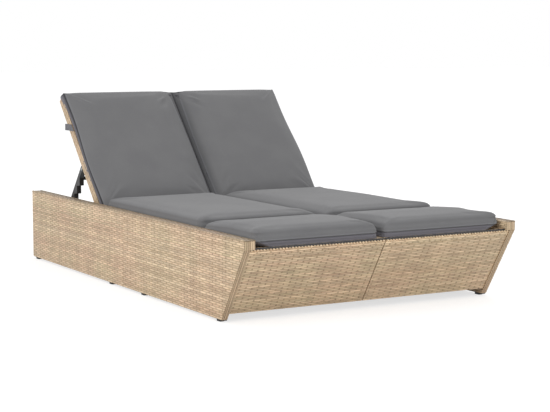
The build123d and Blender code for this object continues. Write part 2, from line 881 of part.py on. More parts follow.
# Cushions: crowned on top, drawn in along the sides
def cushion_section(width, height, crown):
    with BuildSketch(Plane.XY) as section:
        with BuildLine():
            bottom_left = (-width / 2, 0)
            bottom_right = (width / 2, 0)
            top_right = (width / 2, height)
            top_left = (-width / 2, height)
            Line(bottom_left, bottom_right)
            ThreePointArc(bottom_right, (width / 2 - cushion_draw, height / 2), top_right)
            ThreePointArc(top_right, (0, height + crown), top_left)
            ThreePointArc(top_left, (-width / 2 + cushion_draw, height / 2), bottom_left)
        make_face()
    return section.sketch


def cushion(base_plane, start, end, end_height):
    # The base plane lies on the underside, with its y axis along the cushion
    width = cushion_edge - cushion_inner
    middle = -(cushion_edge + cushion_inner) / 2
    with BuildPart() as body:
        for place, height, crown in (
            (start, cushion_height, cushion_end_crown),
            ((start + end) / 2, cushion_height, cushion_crown),
            (end, end_height, cushion_end_crown),
        ):
            point = base_plane.from_local_coords((middle, place, 0))
            section_plane = Plane(origin=point, x_dir=base_plane.x_dir, z_dir=-base_plane.y_dir)
            with BuildSketch(section_plane):
                add(cushion_section(width, height, crown))
        loft()
        corners = body.edges().filter_by(
            lambda e: abs((e @ 1 - e @ 0).normalized().dot(base_plane.z_dir)) > upright_share
        )
        fillet(corners, cushion_corner)
    return body


deck_plane = Plane.XY.offset(deck_top + soft_gap)
back_cushion_plane = back_plane.offset(back_front + soft_gap)
seat_start = cushion_joint_y + cushion_joint_gap / 2
foot_end = cushion_joint_y - cushion_joint_gap / 2
for name, plane, start, end, end_height in (
    ("seat_cushion", deck_plane, seat_start, seat_cushion_rear_y, cushion_height),
    ("foot_cushion", deck_plane, foot_cushion_front_y, foot_end, cushion_height),
    (
        "back_cushion",
        back_cushion_plane,
        back_cushion_start,
        back_cushion_end,
        back_cushion_top_height,
    ),
):
    both_sides(cushion(plane, start, end, end_height), name)

# Straps that hold the back cushions: level at the sides, flat on the rear of the
# backrest, with a tail that stands out at the outer edge
strap_z = back_point(strap_reach, -back_below)[2]
strap_low = strap_z - strap_width / 2
strap_high = strap_z + strap_width / 2
strap_rear = -back_below - soft_gap - strap_thickness
strap_end_y = back_y(strap_z, -back_below) + strap_tail
strap_outer = -back_edge - soft_gap - strap_thickness
strap_inner = -back_inner + soft_gap
with BuildPart() as back_strap:
    for x, low_end_y, high_end_y in (
        (strap_outer, strap_end_y, strap_end_y),
        (strap_inner, back_y(strap_low, strap_rear), back_y(strap_high, strap_rear)),
    ):
        with BuildSketch(Plane.YZ.offset(x)):
            with BuildLine():
                Polyline(
                    (back_y(strap_low, back_front), strap_low),
                    (low_end_y, strap_low),
                    (high_end_y, strap_high),
                    (back_y(strap_high, back_front), strap_high),
                    close=True,
                )
            make_face()
        extrude(amount=strap_thickness)
    with BuildSketch(back_plane.offset(strap_rear)):
        with Locations(((strap_outer + strap_inner + strap_thickness) / 2, strap_reach)):
            Rectangle(strap_inner + strap_thickness - strap_outer, strap_width)
    extrude(amount=strap_thickness)
both_sides(back_strap, "back_strap")
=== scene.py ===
import json
import math

import bmesh
import bpy
from mathutils import Matrix, Vector


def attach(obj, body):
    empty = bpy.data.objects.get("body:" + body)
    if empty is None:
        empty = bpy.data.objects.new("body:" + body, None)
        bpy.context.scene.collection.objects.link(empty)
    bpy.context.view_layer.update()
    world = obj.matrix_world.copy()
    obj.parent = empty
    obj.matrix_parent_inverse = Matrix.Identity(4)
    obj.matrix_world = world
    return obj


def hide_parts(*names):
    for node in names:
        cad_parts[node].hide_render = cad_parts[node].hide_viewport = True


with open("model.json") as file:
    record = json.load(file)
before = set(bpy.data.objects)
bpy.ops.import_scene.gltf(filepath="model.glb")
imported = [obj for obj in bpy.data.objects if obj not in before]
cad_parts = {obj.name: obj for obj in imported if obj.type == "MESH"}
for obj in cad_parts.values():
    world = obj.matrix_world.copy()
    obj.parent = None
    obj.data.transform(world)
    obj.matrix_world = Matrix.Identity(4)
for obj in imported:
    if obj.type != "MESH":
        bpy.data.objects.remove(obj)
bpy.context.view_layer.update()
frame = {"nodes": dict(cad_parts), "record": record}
print("frame loaded")

# sizes that several pieces share, in metres, as the CAD has them
body = {
    "halfWidth": 0.580,
    "innerHalf": 0.5575,  # inside of the side panels
    "halfLength": 1.000,
    "railTop": 0.305,
    "railWidth": 0.0385,
    "railBottom": 0.2745,  # also the top of the deck
    "panel": 0.0225,
    "slant": math.radians(32.4),
    "bottom": 0.009,
    "footTop": -0.99408,  # the foot panel's face at its top edge
    "clear": 0.030,
    "headTop": 0.2357,
    "seam": 0.0022,
}
backrest = {
    "angle": math.radians(48),
    "pivot": Vector((0, 0.347, 0.250)),
    "start": -0.01125,
    "reach": 0.640,
    "below": 0.014,
    "front": 0.0245,
    "outer": 0.527,
    "inner": 0.006,
    "border": 0.0225,
    "web": 0.0025,
}
backMatrix = Matrix.Translation(backrest["pivot"]) @ Matrix.Rotation(backrest["angle"], 4, "X")
clearance = 0.0003  # between a cushion and what it lies on
acrossX, alongY, upZ = (1, 0, 0), (0, 1, 0), (0, 0, 1)
sides = (("left", -1), ("right", 1))


def hexColour(text):
    # sRGB hex to the linear colour that the shader wants
    parts = [int(text[i:i + 2], 16) / 255 for i in (1, 3, 5)]
    return [c / 12.92 if c <= 0.04045 else ((c + 0.055) / 1.055) ** 2.4 for c in parts] + [1]


def setValues(tree, node, values):
    # attributes by name, sockets by name or number; a node stands for its first output, and outputs are linked
    for key, value in values.items():
        if isinstance(value, bpy.types.Node):
            value = value.outputs[0]
        if isinstance(key, str) and hasattr(node, key):
            setattr(node, key, value)
        elif isinstance(value, bpy.types.NodeSocket):
            tree.links.new(value, node.inputs[key])
        else:
            node.inputs[key].default_value = value


def addNode(tree, kind, values=None):
    node = tree.nodes.new("ShaderNode" + kind)
    setValues(tree, node, values or {})
    return node


def deselectAll():
    bpy.ops.object.select_all(action="DESELECT")


def choose(obj):
    deselectAll()
    obj.select_set(True)
    bpy.context.view_layer.objects.active = obj


def applyModifiers(obj):
    choose(obj)
    for modifier in list(obj.modifiers):
        bpy.ops.object.modifier_apply(modifier=modifier.name)


def joined(objects):
    choose(objects[0])
    for other in objects[1:]:
        other.select_set(True)
    if len(objects) > 1:
        bpy.ops.object.join()
    return objects[0]


def duplicate(obj):
    choose(obj)
    bpy.ops.object.duplicate()
    return bpy.context.object


def place(obj, matrix):
    # moves the mesh itself, so that the object stays at the origin
    choose(obj)
    obj.matrix_world = matrix
    bpy.ops.object.transform_apply()
    return obj


def edited(obj, operation, **values):
    # one mesh operation on the whole piece
    choose(obj)
    bpy.ops.object.mode_set(mode="EDIT")
    bpy.ops.mesh.select_all(action="SELECT")
    operation(**values)
    bpy.ops.object.mode_set(mode="OBJECT")
    return obj


def faceOutwards(obj):
    return edited(obj, bpy.ops.mesh.normals_make_consistent, inside=False)


def flipped(obj):
    # the same piece for the other side
    return faceOutwards(place(obj, Matrix.Scale(-1, 4, (1, 0, 0))))


def shapedGrid(along, across, rule):
    # a grid whose points, from -0.5 to 0.5 both ways, go where the rule says
    deselectAll()
    bpy.ops.mesh.primitive_grid_add(x_subdivisions=along, y_subdivisions=across, size=1)
    sheet = bpy.context.object
    for vert in sheet.data.vertices:
        vert.co = rule(vert.co.x, vert.co.y)
    return sheet


def cutAway(obj, point, normal):
    # removes what lies beyond the plane and closes the cut
    edited(obj, bpy.ops.mesh.bisect, plane_co=point, plane_no=normal, use_fill=True, clear_outer=True)


def repeat(obj, count, step, merge=False):
    modifier = obj.modifiers.new("repeat", "ARRAY")
    modifier.count = count
    modifier.use_relative_offset = False
    modifier.use_constant_offset = True
    modifier.constant_offset_displace = step
    modifier.use_merge_vertices = merge
    modifier.merge_threshold = 0.0001


def thicken(obj, thickness, offset=-1):
    modifier = obj.modifiers.new("thickness", "SOLIDIFY")
    modifier.thickness = thickness
    modifier.offset = offset
    modifier.use_even_offset = False


def smooth(obj):
    choose(obj)
    bpy.ops.object.shade_smooth_by_angle(angle=math.radians(40))


def finish(obj, name, bodyName, material, replaced=()):
    obj.name = name
    obj.data.name = name
    obj.data.materials.clear()
    obj.data.materials.append(material)
    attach(obj, bodyName)
    if replaced:
        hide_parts(*replaced)
    return obj


def axes(origin, along, across):
    # a matrix whose x runs along the strands, y across them and z out of the surface
    x = Vector(along).normalized()
    y = Vector(across).normalized()
    return Matrix.Translation(Vector(origin)) @ Matrix((x, y, x.cross(y))).transposed().to_4x4()


def newMaterial(name):
    # also gives the object coordinates, which most patterns read
    material = bpy.data.materials.new(name)
    material.use_nodes = True
    tree = material.node_tree
    tree.nodes.clear()
    shader = addNode(tree, "BsdfPrincipled")
    addNode(tree, "OutputMaterial", {"Surface": shader})
    return material, tree, shader, addNode(tree, "TexCoord").outputs["Object"]


def graded(tree, rows, total=None):
    # the product of smooth changes; a row has its source, from low to high, and the change from start to end
    for source, low, high, start, end in rows:
        change = addNode(tree, "MapRange", {"interpolation_type": "SMOOTHSTEP", 0: source,
                                            1: low, 2: high, 3: start, 4: end})
        if total:
            change = addNode(tree, "Math", {"operation": "MULTIPLY", 0: total, 1: change})
        total = change
    return total


rattan = {
    "base": "#C6AC8D",
    "light": "#EBD3B2",
    "dark": "#A58A68",
    "pink": "#CBA68A",
    "green": "#BDB08A",
    # painted shade: the dark of the dips under the stakes, of the gaps between strands and of the backing's mortar
    # lines
    "gap": "#6B563E",
    "pitch": 0.00825,  # from one strand to the next
    "roughness": 0.5,
    "calm": 0.60,  # how far the strands' tones are drawn to the base
    "tint": 0.22,
    # strength of the painted highlight on the middle of each float
    "crestHighlightStrength": 0.40,
    "shadeDepth": -0.45,  # painted shade for a tone of 1; a negative tone paints light
    "bandPerStrand": 0.45,  # a slow change, a few strands wide
    "stretch": (9, 9, 2.5),  # clouds stretched upright, as the stakes are
    "grooves": (0.7, 8, 1),  # about 1 mm apart, along the strand
}


def polyethyleneRattan():
    # Extruded polyethylene strand: satin and grooved lengthwise, each one a little off the next in tone.
    # The strand map counts crossings along u and strands along v; from it the colour also takes a painted highlight on
    # each float's crest and painted shade in the dips and along the strands' sides.
    material, tree, shader, spot = newMaterial("polyethyleneRattan")
    uv = addNode(tree, "UVMap", {"uv_map": "strandMap"})
    part = addNode(tree, "SeparateXYZ", {0: uv})
    u, v = part.outputs["X"], part.outputs["Y"]
    nearest = addNode(tree, "Math", {"operation": "ROUND", 0: u})
    strand = addNode(tree, "Math", {"operation": "FLOOR", 0: v})
    offMiddle = addNode(tree, "Math", {"operation": "SUBTRACT", 0: u, 1: nearest})
    fromMiddle = addNode(tree, "Math", {"operation": "ABSOLUTE", 0: offMiddle})
    acrossStrand = addNode(tree, "Math", {"operation": "SUBTRACT", 0: v, 1: strand})
    offAxis = addNode(tree, "Math", {"operation": "SUBTRACT", 0: acrossStrand, 1: 0.5})
    fromAxis = addNode(tree, "Math", {"operation": "ABSOLUTE", 0: offAxis})
    # tone of each float, of each strand, of a few strands and of the panel
    cell = addNode(tree, "CombineXYZ", {"X": nearest, "Y": strand})
    floatTone = addNode(tree, "TexWhiteNoise", {"noise_dimensions": "2D", "Vector": cell}).outputs["Value"]
    strandTone = addNode(tree, "TexWhiteNoise", {"noise_dimensions": "1D", "W": strand}).outputs["Value"]
    group = addNode(tree, "Math", {"operation": "MULTIPLY", 0: strand, 1: rattan["bandPerStrand"]})
    band = addNode(tree, "TexNoise", {"noise_dimensions": "1D", "Scale": 1.0, "Detail": 1.0, "W": group})
    tall = addNode(tree, "Mapping", {"Scale": rattan["stretch"], "Vector": spot})
    column = addNode(tree, "TexNoise", {"Scale": 3.0, "Detail": 3.0, "Vector": tall})
    cloud = addNode(tree, "TexNoise", {"Scale": 4.5, "Detail": 2.0, "Vector": spot})
    fine = addNode(tree, "Mapping", {"Scale": rattan["grooves"], "Vector": uv})
    groove = addNode(tree, "TexNoise", {"Scale": 1.0, "Detail": 3.0, "Vector": fine})
    ramp = addNode(tree, "ValToRGB", {"Fac": strandTone})
    order = ("dark", "base", "light", "green", "pink", "base")
    element = ramp.color_ramp.elements
    while len(element) < len(order):
        element.new(0.5)
    for i, name in enumerate(order):
        element[i].position = i / (len(order) - 1)
        element[i].color = hexColour(rattan[name])
    tint = addNode(tree, "Mix", {"data_type": "RGBA", 0: graded(tree, [(cloud, 0.35, 0.65, 0.0, 1.0)]),
                                 6: hexColour(rattan["green"]), 7: hexColour(rattan["pink"])}).outputs[2]
    # painted highlight on the middle of each float, where the rounded strand would catch the light
    crestHighlight = graded(tree, [
        (fromMiddle, 0.10, 0.40, 1.0, 0.0),
        (fromAxis, 0.10, 0.42, 1.0, 0.0),
        (floatTone, 0.0, 1.0, 0.0, rattan["crestHighlightStrength"]),
    ])
    # painted shade in the dips, where a strand sinks under a stake; the attribute read here deepens it
    dipShadeStrength = addNode(tree, "Attribute", {"attribute_name": "dipShadeStrength"}).outputs["Fac"]
    dipShade = graded(tree, [
        (fromMiddle, 0.42, 0.475, 0.0, 1.0),
        (dipShadeStrength, 0.0, 1.0, 0.72, 1.0),
        (strandTone, 0.0, 1.0, 0.75, 1.05),
    ])
    colour = ramp
    for share, over in ((rattan["calm"], hexColour(rattan["base"])), (rattan["tint"], tint),
                        (crestHighlight, hexColour(rattan["light"])), (dipShade, hexColour(rattan["gap"]))):
        colour = addNode(tree, "Mix", {"data_type": "RGBA", 0: share, 6: colour, 7: over}).outputs[2]
    # the tone attribute paints shade on a face, or light where it is negative
    tone = addNode(tree, "Attribute", {"attribute_name": "tone"}).outputs["Fac"]
    tone = addNode(tree, "Math", {"operation": "MULTIPLY_ADD", 0: tone, 1: rattan["shadeDepth"], 2: 1.0})
    # the first row after the tone paints shade along each strand's sides, where it rounds off towards its neighbours;
    # the rows after it are random tone and grain
    factor = graded(tree, [
        (fromAxis, 0.26, 0.48, 1.0, 0.66),
        (floatTone, 0.0, 1.0, 0.92, 1.06),
        (band, 0.3, 0.7, 0.88, 1.08),
        (column, 0.35, 0.65, 0.92, 1.06),
        (groove, 0.3, 0.7, 0.93, 1.05),
    ], tone)
    shade = addNode(tree, "VectorMath", {"operation": "SCALE", 0: colour, "Scale": factor})
    bump = addNode(tree, "Bump", {"Strength": 0.35, "Distance": 0.0004, "Height": groove})
    setValues(tree, shader, {"Base Color": shade, "Normal": bump, "Roughness": rattan["roughness"]})
    return material


backing = {
    "strandLength": 0.050,  # between two dips
    "gapWidth": 0.0012,
    "grooves": (14, 900, 1),
    "steep": 0.7,  # a face that looks this much upwards takes the pattern from above
    "roughness": 0.6,
}


def wovenBacking(name, tilt):
    # The back of the weave and the wrapped members: the same strand seen without its relief
    material, tree, shader, spot = newMaterial(name)
    turned = addNode(tree, "Mapping", {"Rotation": (-tilt, 0, 0), "Vector": spot})
    part = addNode(tree, "SeparateXYZ", {0: turned})
    normal = addNode(tree, "NewGeometry").outputs["Normal"]
    facing = addNode(tree, "VectorRotate", {"rotation_type": "X_AXIS", "Angle": -tilt, "Vector": normal})
    upward = addNode(tree, "SeparateXYZ", {0: facing})
    steep = addNode(tree, "Math", {"operation": "ABSOLUTE", 0: upward.outputs["Z"]})
    flat = addNode(tree, "Math", {"operation": "GREATER_THAN", 0: steep, 1: backing["steep"]})
    side = addNode(tree, "Math", {"operation": "ADD", 0: part.outputs["X"], 1: part.outputs["Y"]})
    wall = addNode(tree, "CombineXYZ", {"X": side, "Y": part.outputs["Z"]})
    top = addNode(tree, "CombineXYZ", {"X": part.outputs["X"], "Y": part.outputs["Y"]})
    surface = addNode(tree, "Mix", {"data_type": "VECTOR", 0: flat, 4: wall, 5: top}).outputs[1]
    # the mortar lines take the gap colour, painted shade between the strands
    brick = addNode(tree, "TexBrick", {
        "offset": 0.5, "Scale": 1.0, "Mortar Size": backing["gapWidth"], "Mortar Smooth": 0.5, "Bias": -0.2,
        "Brick Width": backing["strandLength"], "Row Height": rattan["pitch"], "Color1": hexColour(rattan["base"]),
        "Color2": hexColour(rattan["dark"]), "Mortar": hexColour(rattan["gap"]), "Vector": surface,
    })
    fine = addNode(tree, "Mapping", {"Scale": backing["grooves"], "Vector": surface})
    groove = addNode(tree, "TexNoise", {"Scale": 1.0, "Detail": 3.0, "Vector": fine})
    factor = graded(tree, [(groove, 0.3, 0.7, 0.82, 1.0)])
    shade = addNode(tree, "VectorMath", {"operation": "SCALE", 0: brick, "Scale": factor})
    lift = addNode(tree, "Math", {"operation": "SUBTRACT", 0: 1.0, 1: brick.outputs["Fac"]})
    bump = addNode(tree, "Bump", {"Strength": 0.8, "Distance": 0.0015, "Height": lift})
    setValues(tree, shader, {"Base Color": shade, "Normal": bump, "Roughness": backing["roughness"]})
    return material


cloth = {
    "base": "#6C6C6D",
    "shade": "#626264",
    "gussetShadow": "#6A686F",  # painted shade: the band below the main seam is painted cooler and darker
    # painted shadow in the seam grooves and in the valley between the back cushions
    "seam": "#242428",
    # painted highlight along the piping ridge
    "piping": "#7A7B7F",
    "thread": 0.0016,  # between threads, drawn a little wide so that they show
    "roughness": 0.9,
    "sheen": 0.12,
    "sheenRoughness": 0.5,
}
wavesPerMetre = 2 * math.pi / 20  # scale of a wave texture for one wave in each metre


def polyesterCanvas():
    # Woven polyester: matt, with a fine even weave and faint cloudy shading
    material, tree, shader, spot = newMaterial("polyesterCanvas")
    scale = wavesPerMetre / cloth["thread"]
    warp, weft = [addNode(tree, "TexWave", {"bands_direction": way, "Scale": scale, "Vector": spot}) for way in "XY"]
    height = addNode(tree, "Math", {"operation": "MULTIPLY", 0: warp.outputs["Fac"], 1: weft.outputs["Fac"]})
    cloud = addNode(tree, "TexNoise", {"Scale": 7.0, "Detail": 2.0, "Vector": spot})
    fleck = addNode(tree, "TexNoise", {"Scale": 420.0, "Detail": 1.0, "Vector": spot})
    mix = addNode(tree, "Mix", {"data_type": "RGBA", 0: graded(tree, [(cloud, 0.3, 0.7, 0.2, 0.6)]),
                                6: hexColour(cloth["base"]), 7: hexColour(cloth["shade"])}).outputs[2]
    flecked = graded(tree, [(fleck, 0.3, 0.7, 0.96, 1.04)])
    colour = addNode(tree, "VectorMath", {"operation": "SCALE", 0: mix, "Scale": flecked})
    # the shares paint a cool shade on the band below the main seam, shadow in the seams and between the back cushions,
    # and a highlight on the piping
    for layer in ("gussetShadow", "piping", "seam"):
        share = addNode(tree, "Attribute", {"attribute_name": layer + "Share"}).outputs["Fac"]
        colour = addNode(tree, "Mix", {"data_type": "RGBA", 0: share, 6: colour, 7: hexColour(cloth[layer])}).outputs[2]
    bump = addNode(tree, "Bump", {"Strength": 0.18, "Distance": 0.0004, "Height": height})
    setValues(tree, shader, {"Base Color": colour, "Normal": bump, "Roughness": cloth["roughness"],
                             "Sheen Weight": cloth["sheen"], "Sheen Roughness": cloth["sheenRoughness"]})
    return material


webbing = {"dark": "#55555A", "light": "#77777B", "rib": 0.002, "roughness": 0.75}


def polyesterWebbing():
    # Narrow ribbed tape: ribs 2 mm apart, darker between them
    material, tree, shader, spot = newMaterial("polyesterWebbing")
    scale = wavesPerMetre / webbing["rib"]
    ribs = addNode(tree, "TexWave", {"bands_direction": "Z", "Scale": scale, "Vector": spot}).outputs["Fac"]
    fleck = addNode(tree, "TexNoise", {"Scale": 900.0, "Detail": 2.0, "Vector": spot})
    rough = addNode(tree, "Math", {"operation": "MULTIPLY", 0: ribs, 1: fleck})
    tone = addNode(tree, "Mix", {"data_type": "RGBA", 0: graded(tree, [(rough, 0.1, 0.5, 0.0, 1.0)]),
                                 6: hexColour(webbing["dark"]), 7: hexColour(webbing["light"])}).outputs[2]
    bump = addNode(tree, "Bump", {"Strength": 0.4, "Distance": 0.0004, "Height": ribs})
    setValues(tree, shader, {"Base Color": tone, "Normal": bump, "Roughness": webbing["roughness"]})
    return material


# satin, with the faint orange peel that the powder leaves
powderCoat = {"first": "#1B1B1C", "second": "#2A2A2B", "scale": 18.0, "detail": 4.0, "roughness": (0.36, 0.5),
              "metallic": 0.0, "grain": 700.0, "bump": (0.2, 0.0003)}
# pale grey metal with a fine mottle
zincPlate = {"first": "#B4B6B8", "second": "#8E9092", "scale": 160.0, "detail": 3.0, "roughness": (0.28, 0.45),
             "metallic": 1.0, "grain": None}
# injection-moulded and dull, with a light spark-eroded grain
polypropylene = {"first": "#141414", "second": "#202020", "scale": 1400.0, "detail": 2.0, "roughness": (0.62, 0.62),
                 "metallic": 0.0, "grain": 1400.0, "bump": (0.25, 0.0002)}


def mottledMaterial(name, look):
    # two close tones in a soft pattern, and a grain in relief
    material, tree, shader, spot = newMaterial(name)
    pattern = addNode(tree, "TexNoise", {"Scale": look["scale"], "Detail": look["detail"], "Vector": spot})
    first, second = hexColour(look["first"]), hexColour(look["second"])
    tone = addNode(tree, "Mix", {"data_type": "RGBA", 0: pattern, 6: first, 7: second})
    rough = addNode(tree, "MapRange", {0: pattern, 3: look["roughness"][0], 4: look["roughness"][1]})
    setValues(tree, shader, {"Base Color": tone.outputs[2], "Roughness": rough, "Metallic": look["metallic"]})
    if look["grain"]:
        grain = addNode(tree, "TexNoise", {"Scale": look["grain"], "Detail": 2.0, "Vector": spot})
        strength, distance = look["bump"]
        bump = addNode(tree, "Bump", {"Strength": strength, "Distance": distance, "Height": grain})
        setValues(tree, shader, {"Normal": bump})
    return material


strandMaterial = polyethyleneRattan()
backingMaterial = wovenBacking("wovenBacking", 0)
tiltedBackingMaterial = wovenBacking("tiltedWovenBacking", backrest["angle"])
canvasMaterial = polyesterCanvas()
webbingMaterial = polyesterWebbing()
steelMaterial = mottledMaterial("powderCoatedSteel", powderCoat)
zincMaterial = mottledMaterial("zincPlatedSteel", zincPlate)
plasticMaterial = mottledMaterial("mouldedPolypropylene", polypropylene)
print("materials ready")

weave = {
    "period": 0.050,  # from one float of a strand to the next: two stakes
    "strand": 0.0077,  # width of a strand
    "thickness": 0.0011,
    "wave": 0.0009,  # how far a strand rises and sinks
    "lift": 0.0004,  # middle of the weave above the panel
    "crown": 0.0006,
    "stake": 0.0050,
    "stakeU": 0.452,  # place on the strand map, just at the edge of a dip, so that the stakes take part of the painted dip shade
    "profile": ((0, 1.0), (0.20, 1.0), (0.36, 0.88), (0.44, 0.30), (0.5, -0.95),
                (0.56, 0.30), (0.64, 0.88), (0.80, 1.0), (1.0, 1.0)),
}
wrapped = {  # strands side by side on the wrapped ends of the panels
    "segment": 0.03,
    "width": 0.86,  # share of the step
    "height": 0.0020,
    "foot": 0.0002,
    "roundness": 0.9 * math.pi,
}
profileSteps = len(weave["profile"]) - 1
weaveLevel = weave["lift"] + weave["thickness"] / 2


def strandPoint(x, y):
    # one period of a strand, pushed into its wave
    share, height = weave["profile"][round((x + 0.5) * profileSteps)]
    rise = height * weave["wave"] + (1 - abs(y) * 2) * weave["crown"]
    return share * weave["period"], y * weave["strand"], rise


template = shapedGrid(profileSteps, 2, strandPoint)


def mapStrands(obj, rule):
    # rule gives u, counted in floats, and v, counted in strands, at a point
    for layer in list(obj.data.uv_layers):
        obj.data.uv_layers.remove(layer)
    uv = obj.data.uv_layers.new(name="strandMap")
    points = [vert.co for vert in obj.data.vertices]
    flat = []
    for loop in obj.data.loops:
        flat += rule(points[loop.vertex_index])
    uv.data.foreach_set("uv", flat)


def weavePatch(width, rows, pitch, phase, seed, period):
    # strands along x from 0 to width, rows up y from 0; phase shifts the stakes, in periods
    count = math.ceil(width / period) + 2
    parts = []
    for odd in (0, 1):
        rowCount = (rows + 1 - odd) // 2
        if rowCount < 1:
            continue
        start = -period + (phase + odd * 0.5) % 1 * period
        strands = duplicate(template)
        strands.scale = (period / weave["period"], pitch / rattan["pitch"], 1)
        strands.location = (start, (odd + 0.5) * pitch, weaveLevel)
        bpy.ops.object.transform_apply()
        repeat(strands, count, (period, 0, 0), True)
        thicken(strands, weave["thickness"])
        repeat(strands, rowCount, (0, 2 * pitch, 0))
        applyModifiers(strands)
        mapStrands(strands, lambda point: ((point.x - start) / period, point.y / pitch + seed))
        parts.append(strands)
    patch = joined(parts)
    cutAway(patch, (0, 0, 0), (-1, 0, 0))
    cutAway(patch, (width, 0, 0), (1, 0, 0))
    # stakes, half a period apart, seen only where the strands dip under them
    step = period / 2
    first = (phase * period) % step
    if first < weave["stake"] / 2:
        first += step
    number = int((width - first - weave["stake"] / 2) / step) + 1
    if number < 1:
        return patch
    stakes = shapedGrid(2, 1, lambda x, y: (first + x * weave["stake"], (y + 0.5) * rows * pitch, weaveLevel))
    repeat(stakes, number, (step, 0, 0))
    thicken(stakes, weave["thickness"])
    applyModifiers(stakes)
    mapStrands(stakes, lambda point: (weave["stakeU"], round(point.x / step) + seed + 0.5))
    return joined([patch, stakes])


def wovenFace(width, height, matrix, phase=0.3, seed=0, cuts=(), rows=None, period=None):
    rows = rows or max(1, round(height / rattan["pitch"]))
    patch = weavePatch(width, rows, height / rows, phase, seed, period or weave["period"])
    place(patch, matrix)
    for point, normal in cuts:
        cutAway(patch, point, normal)
    return patch


def parallelStrands(length, width, count, matrix, seed):
    step = width / count

    def strandRule(x, y):
        rise = math.cos(y * wrapped["roundness"]) * wrapped["height"] + wrapped["foot"]
        return (x + 0.5) * length, (y * wrapped["width"] + 0.5) * step, rise

    strands = shapedGrid(max(2, round(length / wrapped["segment"])), 4, strandRule)
    thicken(strands, weave["thickness"])
    repeat(strands, count, (0, step, 0))
    applyModifiers(strands)
    mapStrands(strands, lambda point: ((point.x / length - 0.5) * 0.5, point.y / step + seed))
    return place(strands, matrix)


def withPaintedLight(patch, tone, dipShadeStrength=0.0):
    # tone paints shade on a face, or paints light on it when negative; the second share deepens the painted shade where
    # its strands dip
    for name, share in (("tone", tone), ("dipShadeStrength", dipShadeStrength)):
        layer = patch.data.attributes.new(name, "FLOAT", "POINT")
        layer.data.foreach_set("value", [share] * len(patch.data.vertices))
    return patch


def woven(parts, name, bodyName):
    piece = joined(parts)
    smooth(piece)
    return finish(piece, name, bodyName, strandMaterial)


print("weave template ready")

sidePanel = {
    "endStrands": 3,  # on the slanted front end
    "edgePitch": 0.007,  # the strand that turns over the rail's edge
    "edgePeriod": 0.025,  # it dips at every stake
    "edgeProud": 0.0008,
    "lipStrands": 5,  # on the front of the wrapped rail
    # painted shade on the rail top under the cushion's overhang, on the edge strands, on the lip and on the slanted end
    "railShade": 0.95,
    "outerEdgeShade": 0.50,
    "innerEdgeShade": 0.35,
    "lipShade": 0.24,
    "endShade": 0.42,
    "rearFoot": 0.018,  # the rear end's strands stop this far above the floor
    "rearCut": ((0, 0.994, 0.008), (0, 1, -1)),
}


def edgeStrand(length, point, along, outward, upward, seed):
    # one strand laid over a corner, at 45 degrees, standing a little proud of it
    across = (Vector(upward) - Vector(outward)).normalized()
    middle = Vector(point) + (Vector(upward) + Vector(outward)).normalized() * sidePanel["edgeProud"]
    origin = middle - across * sidePanel["edgePitch"] / 2
    return wovenFace(length, sidePanel["edgePitch"], axes(origin, along, across), 0.25, seed,
                     rows=1, period=sidePanel["edgePeriod"])


railDepth = body["railTop"] - body["railBottom"]
slantDown = Vector((0, math.sin(body["slant"]), -math.cos(body["slant"])))
for side, sign in sides:
    outer = sign * body["halfWidth"]
    inner = sign * (body["halfWidth"] - body["railWidth"])
    west = min(outer, sign * body["innerHalf"])  # the lower x of the panel, and of the rail
    railWest = min(outer, inner)
    outward = (sign, 0, 0)
    inward = (-sign, 0, 0)
    along = (0, sign, 0)  # seen from outside, so that the weave faces out
    against = (0, -sign, 0)
    frontCut = ((0, -body["halfLength"], body["railBottom"]),
                (0, -math.cos(body["slant"]), -math.sin(body["slant"])))
    for half in ("front", "rear"):
        ends = body["seam"] / 2, body["halfLength"]
        low, high = ends if half == "rear" else (-ends[1], -ends[0])
        start, back = (low, high) if sign > 0 else (high, low)
        length = high - low
        number = 100 * (2 + sign) + (400 if half == "rear" else 0)
        cuts = [frontCut if half == "front" else sidePanel["rearCut"]]
        skin = axes((outer, start, body["bottom"]), along, upZ)
        railSkin = axes((max(outer, inner), low, body["railTop"]), alongY, (-1, 0, 0))
        innerSkin = axes((inner, back, body["railBottom"]), against, upZ)
        outerEdge = edgeStrand(length, (outer, start, body["railTop"]), along, outward, upZ, number + 70)
        innerEdge = edgeStrand(length, (inner, back, body["railTop"]), against, inward, upZ, number + 71)
        parts = [
            wovenFace(length, body["railTop"] - body["bottom"], skin, seed=number, cuts=cuts),
            withPaintedLight(wovenFace(length, body["railWidth"], railSkin, seed=number + 50), sidePanel["railShade"]),
            wovenFace(length, railDepth, innerSkin, seed=number + 60),
            withPaintedLight(outerEdge, sidePanel["outerEdgeShade"], 1.0),
            withPaintedLight(innerEdge, sidePanel["innerEdgeShade"], 1.0),
        ]
        if half == "front":
            endLength = (body["railBottom"] - body["bottom"]) / math.cos(body["slant"])
            lip = axes((railWest, low, body["railTop"]), (0, 0, -1), acrossX)
            end = axes((west, low, body["railBottom"]), slantDown, acrossX)
            lipAndEndShades = (sidePanel["lipShade"], sidePanel["endShade"])
        else:
            endLength = body["railBottom"] - sidePanel["rearFoot"]
            lip = axes((railWest + body["railWidth"], high, body["railTop"]), (0, 0, -1), (-1, 0, 0))
            end = axes((west + body["panel"], high, body["railBottom"]), (0, 0, -1), (-1, 0, 0))
            lipAndEndShades = (0.0, 0.0)
        parts += [
            withPaintedLight(parallelStrands(railDepth, body["railWidth"], sidePanel["lipStrands"], lip, number + 80), lipAndEndShades[0]),
            withPaintedLight(parallelStrands(endLength, body["panel"], sidePanel["endStrands"], end, number + 90), lipAndEndShades[1]),
        ]
        woven(parts, f"{side}_{half}_side_weave", "base")
print("side panels woven")

